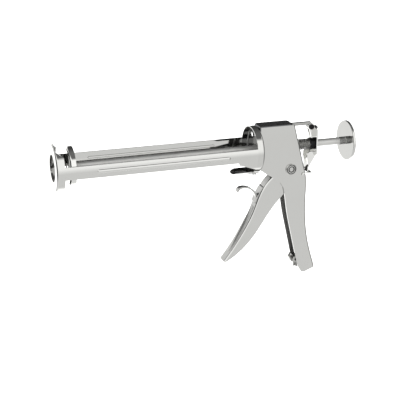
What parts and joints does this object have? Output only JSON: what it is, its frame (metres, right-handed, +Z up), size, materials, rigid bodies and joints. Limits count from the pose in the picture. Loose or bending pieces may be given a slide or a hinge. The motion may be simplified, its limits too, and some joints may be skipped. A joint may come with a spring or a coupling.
{
  "type": "caulking gun",
  "caption": "Metal skeleton caulking gun: two side rails between a nozzle cap and a rear cup, a push rod with a pull disc, a channel grip and a trigger.",
  "frame": {"origin": "on the rod's axis, in the plane where the cartridge's base seats in the rear cup", "axes": "+X along the rod from the nozzle end to the pull disc, +Z up away from the grip, +Y to the gun's right side"},
  "size_m": [0.3447, 0.0542, 0.1802],
  "materials": {
    "cup_chrome": "polished",
    "rail_chrome": "polished",
    "cap_chrome": "polished",
    "tongue_chrome": "polished",
    "rivet_steel": "satin",
    "body_chrome": "polished",
    "strap_dark_chrome": "polished",
    "bush_steel": "satin",
    "bracket_chrome": "polished",
    "dark_steel": "satin",
    "pin_chrome": "polished",
    "trigger_chrome": "polished",
    "plate_steel": "satin",
    "spring_steel": "satin",
    "lever_chrome": "polished",
    "rod_chrome": "polished",
    "plunger_chrome": "polished",
    "nut_steel": "satin",
    "disc_chrome": "polished"
  },
  "bodies": {
    "frame": {"rear_cup": "cup_chrome", "left_rail": "rail_chrome", "right_rail": "rail_chrome", "front_cap": "cap_chrome", "cradle_tongue": "tongue_chrome", "tongue_rivets": "rivet_steel", "handle_housing": "body_chrome", "top_strap": "strap_dark_chrome", "front_guide_bush": "bush_steel", "rear_guide": "bush_steel", "rear_bracket": "bracket_chrome", "brake_pin": "dark_steel", "pivot_pin": "pin_chrome", "pivot_washer": "pin_chrome", "grip_spring": "spring_steel", "brake_spring": "spring_steel", "piercer_lugs": "plate_steel", "piercer_pin": "dark_steel"},
    "rod": {"drive_rod": "rod_chrome", "plunger": "plunger_chrome", "plunger_washer": "nut_steel", "plunger_nut": "nut_steel", "pull_disc": "disc_chrome", "disc_nut": "nut_steel"},
    "trigger": {"trigger": "trigger_chrome", "trigger_hook": "trigger_chrome", "pivot_sleeve": "bush_steel"},
    "grip_plates": {"front_grip_plate": "plate_steel", "rear_grip_plate": "plate_steel"},
    "brake_lever": {"brake_lever": "lever_chrome", "spring_washer": "dark_steel"},
    "piercer": {"piercer_block": "plate_steel", "piercing_needle": "dark_steel"}
  },
  "joints": [
    {"name": "rod_slide", "type": "slide", "parent": "frame", "child": "rod", "axis": [1, 0, 0], "range_m": [-0.008, 0.2]},
    {"name": "trigger_pivot", "type": "hinge", "parent": "frame", "child": "trigger", "pos_m": [0.0395, 0, -0.025], "axis": [0, -1, 0], "range_deg": [0, 26], "stiffness_Nm_per_rad": 0.6, "springref_deg": -14.32},
    {"name": "grip_plates_slide", "type": "slide", "parent": "frame", "child": "grip_plates", "axis": [-1, 0, 0], "range_m": [0, 0.0125], "deforming": ["grip_spring"]},
    {"name": "brake_lever_pivot", "type": "hinge", "parent": "frame", "child": "brake_lever", "pos_m": [0.065, 0, 0.0206], "axis": [0, 1, 0], "range_deg": [0, 3], "stiffness_Nm_per_rad": 0.5, "springref_deg": -11.46, "deforming": ["brake_spring"]},
    {"name": "piercer_pivot", "type": "hinge", "parent": "frame", "child": "piercer", "pos_m": [0.05, 0, -0.1365], "axis": [0, -1, 0], "range_deg": [0, 150]}
  ],
  "couplings": [
    {"joint": "grip_plates_slide", "follows": "trigger_pivot", "m_per_rad": 0.0255}
  ]
}
